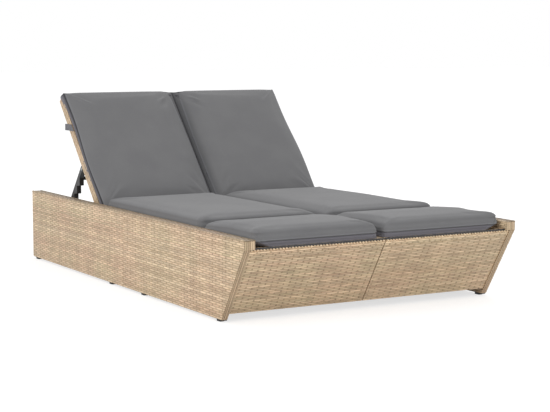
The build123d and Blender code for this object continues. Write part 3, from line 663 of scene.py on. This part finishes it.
footPanel = {
    "rollPitch": 0.0085,  # the strand that turns over the top edge
    "rollTilt": math.radians(48),
    "rollShift": Vector((0, -0.0022, -0.0006)),
    "drop": 0.0098,  # the rows start this far below the edge, under the comb
    "longPeriod": 0.054,  # the two top strands have longer floats
    "dotPitch": 0.0082,  # below them one strand dips at every stake
    # painted light on the two top strands that turn over the edge, painted shade on the comb under the cushion
    "longRowLight": -0.90,
    "rollLight": -2.4,
    "combShade": 0.10,
    "combPitch": 0.0126,  # strands of the deck that come over the edge
    "combWidth": 0.0066,
    "combCrown": 0.0007,
    "combShift": Vector((0, 0.0016, 0.0008)),
    "comb": ((-0.0044, -0.0074), (-0.0040, -0.0050), (-0.0030, -0.0024), (0.0020, -0.0006), (0.0190, 0.0012)),
    "rodRadius": 0.0046,
    "rodShift": Vector((0, 0.0046, 0.0004)),
    "rodBevel": 0.0008,
}
headPanel = {"edge": 0.0225}
deck = {  # it shows only round and between the cushions
    "rear": 0.315,
    "front": -0.972,
    "strip": 0.0165,
    "inset": 0.016,
    "outer": 0.5415,
    "middle": {"left": -0.0095, "right": 0.0012},
    "crossings": ((-0.9745, 1, 0.1, 170), (-0.578, 1, 0.6, 182), (0.282, 2, 0.6, 186)),
}


def combStrands(width, origin):
    # short strands that come over the top edge from the deck
    pitch = footPanel["combPitch"]

    def combRule(x, y):
        forward, rise = footPanel["comb"][round((y + 0.5) * 4)]
        return x * footPanel["combWidth"], forward, rise + (1 - abs(x) * 2) * footPanel["combCrown"]

    comb = shapedGrid(2, 4, combRule)
    thicken(comb, weave["thickness"])
    count = int(width / pitch)
    repeat(comb, count, (pitch, 0, 0))
    applyModifiers(comb)
    mapStrands(comb, lambda point: (point.y * 8, math.floor(point.x / pitch + 0.5) + 0.5 + point.x % 0.001))
    margin = (width - (count - 1) * pitch) / 2
    return place(comb, Matrix.Translation(origin + Vector((margin, 0, 0))))


upSlope = -slantDown
rollUp = Vector((0, math.cos(footPanel["rollTilt"]), math.sin(footPanel["rollTilt"])))
for side, sign in sides:
    low = -body["innerHalf"] if sign < 0 else body["seam"]
    width = body["innerHalf"] - body["seam"]
    east = low + width
    slope = (body["railBottom"] - body["clear"]) / math.cos(body["slant"])
    topEdge = Vector((low, body["footTop"], body["railBottom"]))
    number = 1500 + sign * 200
    pitch = footPanel["rollPitch"]
    longRow = pitch + footPanel["drop"]
    dots = longRow + footPanel["dotPitch"]
    slopeAt = {level: axes(topEdge - upSlope * level, acrossX, upSlope) for level in (slope, dots, longRow)}
    roll = axes(topEdge - upSlope * footPanel["drop"] + footPanel["rollShift"], acrossX, rollUp)
    dotRow = wovenFace(width, footPanel["dotPitch"], slopeAt[dots], 0.4, number + 60,
                       rows=1, period=weave["period"] / 2)
    longStrand = wovenFace(width, pitch, slopeAt[longRow], 0.1, number + 70, rows=1, period=footPanel["longPeriod"])
    rollStrand = wovenFace(width, pitch, roll, 0.6, number + 72, rows=1, period=footPanel["longPeriod"])
    parts = [
        wovenFace(width, slope - dots, slopeAt[slope], 0.2, number),
        withPaintedLight(dotRow, 0, 1.0),
        withPaintedLight(longStrand, footPanel["longRowLight"]),
        withPaintedLight(rollStrand, footPanel["rollLight"]),
        withPaintedLight(combStrands(width, topEdge + footPanel["combShift"]), footPanel["combShade"]),
    ]
    woven(parts, f"{side}_foot_weave", "base")

    deselectAll()
    # a black steel rod under the comb: the frame tube that shows between the strands, and also a dark piece that stands
    # in for the shade under the cushion there
    spot = topEdge + Vector((width / 2, 0, 0)) + footPanel["rodShift"]
    bpy.ops.mesh.primitive_cylinder_add(vertices=20, radius=footPanel["rodRadius"], depth=width,
                                        rotation=(0, math.pi / 2, 0), location=spot)
    shadowRod = bpy.context.object
    bpy.ops.object.transform_apply()
    smooth(edited(shadowRod, bpy.ops.mesh.bevel, offset=footPanel["rodBevel"], segments=2))
    finish(shadowRod, f"{side}_foot_edge_shadow_rod", "base", steelMaterial)

    rear, top, edge = body["halfLength"], body["headTop"], headPanel["edge"]
    parts = [
        wovenFace(width, top - body["clear"], axes((east, rear, body["clear"]), (-1, 0, 0), upZ), 0.2, number + 100),
        wovenFace(width, edge, axes((low, rear - edge, top), acrossX, alongY), 0.2, number + 150),
        edgeStrand(width, (east, rear, top), (-1, 0, 0), alongY, upZ, number + 160),
    ]
    woven(parts, f"{side}_head_weave", "base")

    length = deck["rear"] - deck["front"]
    strip = deck["strip"]
    outerWest = -deck["outer"] if sign < 0 else deck["outer"] - strip
    crossWest = low + (deck["inset"] if sign < 0 else 0)
    parts = []
    for y, rows, phase, offset in deck["crossings"]:
        matrix = axes((crossWest, y, body["railBottom"]), acrossX, alongY)
        parts.append(wovenFace(width - deck["inset"], strip * rows, matrix, phase, number + offset))
    for x, across, offset in ((outerWest, strip, 174), (deck["middle"][side], strip / 2, 178)):
        matrix = axes((x, deck["rear"], body["railBottom"]), (0, -1, 0), acrossX)
        parts.append(wovenFace(length, across, matrix, 0.1, number + offset))
    woven(parts, f"{side}_deck_weave", "base")
print("foot, head and deck woven")

for side, sign in sides:
    west, east = sorted((sign * backrest["outer"], sign * backrest["inner"]))
    low, high, border = backrest["start"], backrest["reach"], backrest["border"]
    length, width = high - low, east - west
    front, rear = backrest["front"], -backrest["below"]
    depth = front - rear
    innerWidth, innerLength = width - 2 * border, length - 2 * border
    number = 2500 + sign * 200
    down, up, back = (0, 0, -1), upZ, (0, -1, 0)
    faces = (
        (length, depth, (west, low, front), alongY, down),
        (length, depth, (east, low, rear), alongY, up),
        (width, depth, (west, high, front), acrossX, down),
        (width, depth, (west, low, rear), acrossX, up),
        (length, border, (west, low, rear), alongY, acrossX),
        (length, border, (east - border, low, rear), alongY, acrossX),
        (innerWidth, border, (west + border, high, rear), acrossX, back),
        (innerWidth, border, (west + border, low + border, rear), acrossX, back),
        (innerWidth, innerLength, (west + border, high - border, front - backrest["web"]), acrossX, back),
    )
    parts = [
        wovenFace(faceWidth, faceHeight, backMatrix @ axes(origin, along, across), seed=number + 10 * i)
        for i, (faceWidth, faceHeight, origin, along, across) in enumerate(faces)
    ]
    woven(parts, f"{side}_back_weave", f"{side}_backrest")
bpy.data.objects.remove(template)
print("backrests woven")

# Cushions, each drawn in its own frame: x across, y up its length, z out of the underside; outer side at lower x
cushion = {
    "inset": 0.0035,
    "bottomEdge": 0.006,
    "slopeWidth": 0.028,  # over which the top rises from its edge
    "swayReach": 0.03,
    "swayTurns": 9.0,
    "liftReach": 0.085,
    "spreadReach": 0.11,
    "innerReach": 0.060,
    "recedeReach": 0.10,
    "held": 0.003,  # what lies lower than this stays down in the simulation
    "floor": 0.0002,
    "pressure": 4.0,
    "cap": 0.006,
    "frames": 20,
    "seams": (0.0195, 0.0095),
    "loops": ((-0.002, 0, 0.002), (-0.0035, -0.0015, 0, 0.0015, 0.0032, 0.0050, 0.0068, 0.0090)),
    "grooves": (0.0018, 0.0008),
    "grooveReach": 0.0034,
    "lowerShade": 0.20,
    "gussetShade": 0.9,
    "gussetEdge": 0.002,
    "pipingAbove": 0.0050,  # from the main seam
    "pipingReach": 0.0036,
    "pipingHighlight": 0.75,
    "piping": 0.0010,
    "sideReach": 0.030,
    "upright": 0.45,  # level part of the normal of a face that carries seams
    "foldShare": (0.85, 0.35),
    # how far the side stands out at each height: the gusset, the bulge above the seam, the soft fold under the top
    "profile": ((0.0, -0.0006), (0.010, 0.0006), (0.0195, -0.0004), (0.027, 0.0008), (0.034, -0.0004),
                (0.0425, -0.0048), (0.0450, -0.0050), (0.055, 0.0004), (0.062, 0.0)),
}
levelPad = {
    "inner": 0.0045, "height": 0.060, "crown": 0.003, "topEdge": 0.024, "phase": 1.2, "recede": 0, "spread": 0,
    "fold": 1.0, "seamWidth": 0.0034, "seamShift": 0, "seamShade": 0.45,
}
seatPad = {
    **levelPad, "start": -0.5675, "end": 0.2935, "outer": 0.5355, "endHeight": 0.058, "corner": 0.020,
    "frontCorner": 0.034, "lift": 0.005, "sway": 0.0025, "innerDrop": 0.009, "voxel": 0.0070,
}
footPad = {
    **levelPad, "start": -0.9775, "end": -0.5720, "outer": 0.5375, "endHeight": 0.047, "corner": 0.030,
    "frontCorner": 0.026, "lift": 0.016, "sway": 0.0020, "innerDrop": 0.006, "voxel": 0.0060,
}
backPad = {
    "start": 0.003, "end": 0.6535, "outer": 0.5335, "inner": 0.0006, "height": 0.026, "endHeight": 0.022,
    "crown": 0.024, "topEdge": 0.005, "corner": 0.006, "frontCorner": 0.006, "lift": 0.001, "sway": 0.0045,
    "phase": 2.74, "recede": 0.004, "spread": 0.001, "innerDrop": 0.009, "fold": 0, "seamWidth": 0.0110,
    "seamShift": 0.003, "seamShade": 0.95, "voxel": 0.0062,
}
pinch = {  # a fold pinched into the foot cushion's front beside the outer corner
    "depth": 0.0042,
    "fromFront": 0.05,
    "fromSide": 0.034,
    "level": 0.022,
    "slope": 0.64,
    "width": 0.009,
    "middle": 0.034,
    "reach": 0.022,
}
skirt = {  # the gusset of the back cushion hangs over the outer side of its frame
    "drop": 0.022,
    "reach": 0.016,
    "overlap": 0.002,
    "out": 0.003,
}
valley = {  # the back cushions stand against each other, with no gusset between them
    "side": 0.03,
    "back": 0.009,
    "ends": 0.005,
    "foot": 0.005,
    "wall": 0.016,
    "gap": 0.0002,
    "shadeHeight": 0.030,
    "shade": 0.85,
    "reach": 0.075,  # the right back cushion sinks towards the left one and takes painted shade there
    "drop": 0.0075,
    "height": 0.026,
    "sunkShade": 0.62,
    "sunkReach": 0.052,
}


def simulatePad(pad):
    cloth = pad.modifiers.new("cloth", "CLOTH")
    settings = cloth.settings
    settings.quality = 4
    settings.mass = 0.2
    settings.tension_stiffness = 12
    settings.compression_stiffness = 12
    settings.bending_stiffness = 0.4
    settings.use_pressure = True
    settings.uniform_pressure_force = cushion["pressure"]
    settings.effector_weights.gravity = 0
    settings.vertex_group_mass = "held"
    cloth.collision_settings.use_collision = False
    before = [vert.co.copy() for vert in pad.data.vertices]
    for number in range(1, cushion["frames"] + 1):
        bpy.context.scene.frame_set(number)
    applyModifiers(pad)
    for vert, old in zip(pad.data.vertices, before):
        move = vert.co - old
        if move.length > cushion["cap"]:
            vert.co = old + move.normalized() * cushion["cap"]
    bpy.context.scene.frame_set(1)


def selectEdges(pad, test):
    mesh = bmesh.from_edit_mesh(pad.data)
    for edge in mesh.edges:
        edge.select_set(False)
    found = [edge for edge in mesh.edges if test(*(vert.co for vert in edge.verts), edge)]
    for edge in found:
        edge.select_set(True)
    mesh.select_flush_mode()
    bmesh.update_edit_mesh(pad.data)


def padBody(kind, width, length):
    height = kind["height"]
    inset = cushion["inset"]
    deselectAll()
    bpy.ops.mesh.primitive_cube_add(size=1)
    pad = bpy.context.object
    pad.scale = (width - 2 * inset, length - 2 * inset, height)
    pad.location = (0, 0, height / 2)
    bpy.ops.object.transform_apply()
    bpy.ops.object.mode_set(mode="EDIT")
    bpy.ops.mesh.select_mode(type="EDGE")
    selectEdges(pad, lambda low, high, edge: abs(low.z - high.z) > height / 2 and low.y < 0 and low.x < 0)
    bpy.ops.mesh.bevel(offset=kind["frontCorner"], segments=6)
    selectEdges(pad, lambda low, high, edge: abs(low.z - high.z) > height / 2 and edge.calc_face_angle(0) > 1.0)
    bpy.ops.mesh.bevel(offset=kind["corner"], segments=5)
    for level, offset, segments in ((height, kind["topEdge"], 6), (0, cushion["bottomEdge"], 3)):
        selectEdges(pad, lambda low, high, edge: abs(low.z - level) < 1e-5 and abs(high.z - level) < 1e-5)
        bpy.ops.mesh.bevel(offset=offset, segments=segments, clamp_overlap=False)
    bpy.ops.object.mode_set(mode="OBJECT")
    pad.data.remesh_voxel_size = kind["voxel"]
    choose(pad)
    bpy.ops.object.voxel_remesh()
    return pad


def fade(distance, reach):
    # 1 at the place itself, 0 from the reach on
    share = max(0.0, 1 - distance / reach)
    return share * share * (3 - 2 * share)


def shapePad(pad, kind, width, length):
    # crown, thinner end, lifted front corner and swaying sides, before the cloth swells
    height = kind["height"]
    slope = cushion["slopeWidth"]
    for vert in pad.data.vertices:
        x, y, z = vert.co
        upper = max(0.0, min(1.0, z / height))
        fromSide = max(0.0, width / 2 - abs(x))
        fromEnd = max(0.0, length / 2 - abs(y))
        fromInner, fromTop = width / 2 - x, length / 2 - y
        rise = (1 - math.exp(-fromSide / slope)) * (1 - math.exp(-fromEnd / slope))
        thin = height + (kind["endHeight"] - height) * max(0.0, y / length) * 2
        z = z * thin / height + kind["crown"] * rise * upper ** 3
        z += kind["lift"] * fade(math.hypot(x + width / 2, y + length / 2), cushion["liftReach"]) * (1 - upper)
        if x < 0:
            wave = math.sin(cushion["swayTurns"] * y / length + kind["phase"])
            x -= kind["sway"] * math.exp(-fromSide / cushion["swayReach"]) * wave * (0.4 + 0.6 * upper)
        x -= kind["spread"] * fade(math.hypot(x + width / 2, y - length / 2), cushion["spreadReach"])
        z -= kind["innerDrop"] * upper ** 2 * fade(fromInner, cushion["innerReach"])
        y -= kind["recede"] * upper ** 2 * fade(fromTop, cushion["recedeReach"])
        vert.co = Vector((x, y, z))


def between(table, value):
    # smooth steps from one row of the table to the next
    for (low, first), (high, second) in zip(table, table[1:]):
        if value <= high:
            share = max(0.0, (value - low) / (high - low))
            return first + (second - first) * share * share * (3 - 2 * share)
    return table[-1][1]


def sewSeams(pad, label, kind, width, length):
    # loops are added along each seam, then the side takes its profile, the seam is pulled in and the piping pushed out
    main, lower = cushion["seams"]
    for seam, offsets in zip((lower, main), cushion["loops"]):
        for offset in offsets:
            edited(pad, bpy.ops.mesh.bisect, plane_co=(0, 0, seam + offset), plane_no=(0, 0, 1))
    names = ("seamShare", "gussetShadowShare", "pipingShare")
    for name in names:
        pad.data.attributes.new(name, "FLOAT", "POINT")
    groove, band, pipingHighlightShare = (pad.data.attributes[name].data for name in names)
    normals = [vert.normal.copy() for vert in pad.data.vertices]
    for i, (vert, normal) in enumerate(zip(pad.data.vertices, normals)):
        x, y, z = vert.co
        level = Vector((normal.x, normal.y, 0))
        fromInner, fromOuter = width / 2 - x, width / 2 + x
        fromEdge = min(width / 2 - abs(x), length / 2 - abs(y))
        out = fade(fromEdge, cushion["sideReach"]) * min(1.0, level.length / 0.5)
        if out > 0:
            thin = 1 + (kind["endHeight"] / kind["height"] - 1) * max(0.0, y / length) * 2
            push = between(cushion["profile"], z / thin if z > main else z)
            deep = 0.0
            if level.length > cushion["upright"]:
                near = [fade(abs(z - seam), cushion["grooveReach"]) for seam in cushion["seams"]]
                # the main seam and the lower seam are painted dark as the shadow in their grooves
                dark = fade(abs(z - main + kind["seamShift"]), kind["seamWidth"])
                ridge = fade(abs(z - main - cushion["pipingAbove"]), cushion["pipingReach"])
                overSeam = z - main + cushion["gussetEdge"]
                groove[i].value = min(1.0, dark * kind["seamShade"] + near[1] * cushion["lowerShade"])
                onGusset = fade(overSeam, 2 * cushion["gussetEdge"]) if overSeam > 0 else 1
                # the band below the main seam takes a cool painted shade
                band[i].value = cushion["gussetShade"] * onGusset
                # painted highlight along the piping ridge
                pipingHighlightShare[i].value = ridge * cushion["pipingHighlight"]
                deep = ridge * cushion["piping"] - near[0] * cushion["grooves"][0] - near[1] * cushion["grooves"][1]
            if z > main:
                push *= kind["fold"] * (cushion["foldShare"][0] + cushion["foldShare"][1] * abs(normal.y))
            vert.co += level.normalized() * (push * out + deep)
        if label == "foot" and y < -length / 2 + pinch["fromFront"]:
            line = pinch["fromSide"] - (z - pinch["level"]) * pinch["slope"]
            near = fade(abs(fromOuter - line), pinch["width"]) * fade(abs(z - pinch["middle"]), pinch["reach"])
            vert.co.y += pinch["depth"] * near
        if label == "back" and x > 0 and fromEdge < valley["side"]:
            near = fade(fromInner - valley["back"], valley["wall"]) * (1 - fade(length / 2 - abs(y), valley["ends"]))
            wall = width / 2 + kind["inner"] - valley["gap"]
            vert.co.x += (wall - vert.co.x) * near * fade(z - valley["foot"], valley["wall"])
            # the inner wall between the back cushions takes painted shade
            if normal.x > cushion["upright"]:
                groove[i].value = valley["shade"] * fade(z, valley["shadeHeight"])
                band[i].value = 0.0
        if label == "back" and fromOuter < skirt["reach"]:
            hang = fade(z, skirt["reach"]) * fade(fromOuter + skirt["overlap"], skirt["reach"])
            vert.co.z -= skirt["drop"] * hang
            vert.co.x -= skirt["out"] * hang


def sinkInner(pad):
    # the right back cushion lies lower beside the left one and carries painted shade there
    flat = backMatrix.inverted()
    groove = pad.data.attributes["seamShare"].data
    for i, vert in enumerate(pad.data.vertices):
        x, y, z = flat @ vert.co
        upper = max(0.0, min(1.0, (z - backrest["front"]) / valley["height"]))
        vert.co = backMatrix @ Vector((x, y, z - valley["drop"] * fade(x, valley["reach"]) * upper ** 2))
        groove[i].value = max(groove[i].value, valley["sunkShade"] * fade(x, valley["sunkReach"]))


for label, kind in (("seat", seatPad), ("foot", footPad), ("back", backPad)):
    width = kind["outer"] - kind["inner"]
    length = kind["end"] - kind["start"]
    pad = padBody(kind, width, length)
    shapePad(pad, kind, width, length)
    held = pad.vertex_groups.new(name="held")
    held.add([vert.index for vert in pad.data.vertices if vert.co.z < cushion["held"]], 1.0, "REPLACE")
    simulatePad(pad)
    modifier = pad.modifiers.new("smoother", "SUBSURF")
    modifier.levels = modifier.render_levels = 1
    applyModifiers(pad)
    for vert in pad.data.vertices:
        vert.co.z = max(vert.co.z, cushion["floor"])
    sewSeams(pad, label, kind, width, length)
    spot = Matrix.Translation((-(kind["outer"] + kind["inner"]) / 2, (kind["start"] + kind["end"]) / 2, 0))
    if label == "back":
        place(pad, backMatrix @ Matrix.Translation((0, 0, backrest["front"] + clearance)) @ spot)
    else:
        place(pad, Matrix.Translation((0, 0, body["railBottom"] + clearance)) @ spot)
    choose(pad)
    bpy.ops.object.shade_smooth()
    other = flipped(duplicate(pad))
    if label == "back":
        sinkInner(other)
    for side, obj in (("left", pad), ("right", other)):
        bodyName = f"{side}_backrest" if label == "back" else "base"
        finish(obj, f"{side}_{label}_pad", bodyName, canvasMaterial, (f"{side}_{label}_cushion",))
    print(label, "cushions sewn")

strap = {
    "z": 0.60924,  # height of its middle at the side of the raised backrest
    "width": 0.028,
    "thickness": 0.0014,
    "endY": 0.7163,
    "reach": 0.496,
    "steps": (14, 6, 24),  # along the outer side, the inner side and the back
    "bevel": 0.0004,
    "outerX": -backrest["outer"] - 0.0030,
    "innerX": -backrest["inner"] + 0.0012,
    "rear": -backrest["below"] - 0.0038,
    "sideRear": -backrest["below"] - 0.0016,
    "flare": 0.0022,
    "sag": 0.002,
}


def strapPiece(steps, rule):
    # a flat tape: rule gives the place for a share along it and a share across it
    tape = faceOutwards(shapedGrid(steps, 6, lambda x, y: rule(x + 0.5, y)))
    thicken(tape, strap["thickness"], 0)
    modifier = tape.modifiers.new("edges", "BEVEL")
    modifier.width = strap["bevel"]
    modifier.segments = 2
    applyModifiers(tape)
    return tape


def backY(z, rise):
    # where a plane at this rise of the raised backrest passes the height z
    pivot, angle = backrest["pivot"], backrest["angle"]
    return pivot.y + (z - pivot.z) / math.tan(angle) - rise / math.sin(angle)


def strapSide(share, across, x, flare, endY=None):
    z = strap["z"] + across * strap["width"]
    start = backY(z, backrest["front"])
    end = endY or backY(z, strap["sideRear"])
    return x - flare * math.sin(share * math.pi * 1.5) ** 2, start + (end - start) * share, z


def strapBack(share, across):
    x = strap["outerX"] + (strap["innerX"] - strap["outerX"]) * share
    y = strap["reach"] + across * strap["width"]
    return backMatrix @ Vector((x, y, strap["rear"] - strap["sag"] * math.sin(share * math.pi)))


for side in ("left", "right"):
    rules = (
        lambda share, across: strapSide(share, across, strap["outerX"], strap["flare"], strap["endY"]),
        lambda share, across: strapSide(share, across, strap["innerX"], 0),
        strapBack,
    )
    tape = joined([strapPiece(steps, rule) for steps, rule in zip(strap["steps"], rules)])
    if side == "right":
        flipped(tape)
    smooth(tape)
    finish(tape, f"{side}_strap_tape", f"{side}_backrest", webbingMaterial, (f"{side}_back_strap",))
print("straps sewn")

finishes = {
    "black_steel": steelMaterial,
    "zinc_steel": zincMaterial,
    "black_plastic": plasticMaterial,
    "tan_weave": backingMaterial,
    "grey_webbing": webbingMaterial,
    "grey_cloth": canvasMaterial,
}
slots = {item["node"]: item["material_slot"] for item in frame["record"]["subparts"]}
for name, obj in frame["nodes"].items():
    tilted = slots[name] == "tan_weave" and "back" in name
    obj.data.materials.clear()
    obj.data.materials.append(tiltedBackingMaterial if tilted else finishes[slots[name]])
print("CAD nodes finished")

studio = {
    "lens": 97.99,
    "sensor": 36,
    "place": (-2.9955, -5.4091, 0.9760),
    "forward": (0.49531, 0.86191, -0.10857),
    "sky": 0.85,  # light of the world on the object
    "floor": 0.86,  # grey of the floor where light falls on it
    "floorSize": 80,
    "floorRoughness": 0.9,
    "floorShare": 0.5,  # how much plain white the camera sees in it
    "floorWhite": 1.36,
    "lampSize": 3.0,
    "lamps": (  # name, place, target and power
        ("keyLamp", (2.6, 2.4, 4.6), (0, 0, 0.2), 50),
        ("sideLamp", (-5.2, -1.8, 1.8), (0, 0, 0.2), 95),
        ("frontLamp", (0.8, -6.2, 1.4), (0, -0.5, 0.2), 55),
    ),
}


def aim(obj, direction):
    obj.rotation_euler = Vector(direction).to_track_quat("-Z", "Y").to_euler()


bpy.ops.object.camera_add(location=studio["place"])
camera = bpy.context.object
camera.name = "camera"
camera.data.lens = studio["lens"]
camera.data.sensor_width = studio["sensor"]
aim(camera, studio["forward"])
bpy.context.scene.camera = camera

for name, location, target, power in studio["lamps"]:
    bpy.ops.object.light_add(type="AREA", location=location)
    lamp = bpy.context.object
    lamp.name = name
    lamp.data.shape = "DISK"
    lamp.data.size = studio["lampSize"]
    lamp.data.energy = power
    aim(lamp, Vector(target) - Vector(location))


def seenDirectly(tree):
    path = addNode(tree, "LightPath").outputs
    seen = addNode(tree, "Math", {"operation": "MAXIMUM", 0: path["Is Camera Ray"], 1: path["Is Glossy Ray"]})
    return addNode(tree, "Math", {"operation": "MAXIMUM", 0: seen, 1: path["Is Transmission Ray"]})


white = (1, 1, 1, 1)
world = bpy.data.worlds.new("studio")
bpy.context.scene.world = world
world.use_nodes = True
tree = world.node_tree
tree.nodes.clear()
strength = addNode(tree, "MapRange", {0: seenDirectly(tree), 3: studio["sky"], 4: 1.0})
background = addNode(tree, "Background", {"Color": white, "Strength": strength})
addNode(tree, "OutputWorld", {"Surface": background})

deselectAll()
bpy.ops.mesh.primitive_plane_add(size=studio["floorSize"], location=(0, 0, 0))
floor = bpy.context.object
floor.name = "floor"
material, tree, shader, spot = newMaterial("paleFloor")
setValues(tree, shader, {"Base Color": [studio["floor"]] * 3 + [1], "Roughness": studio["floorRoughness"]})
glow = addNode(tree, "Emission", {"Color": white, "Strength": studio["floorWhite"]})
share = addNode(tree, "Math", {"operation": "MULTIPLY", 0: seenDirectly(tree), 1: studio["floorShare"]})
both = addNode(tree, "MixShader", {0: share, 1: shader, 2: glow})
output = [node for node in tree.nodes if node.type == "OUTPUT_MATERIAL"][0]
setValues(tree, output, {"Surface": both})
floor.data.materials.append(material)

bpy.context.scene.view_settings.view_transform = "Standard"
print("camera and light set")
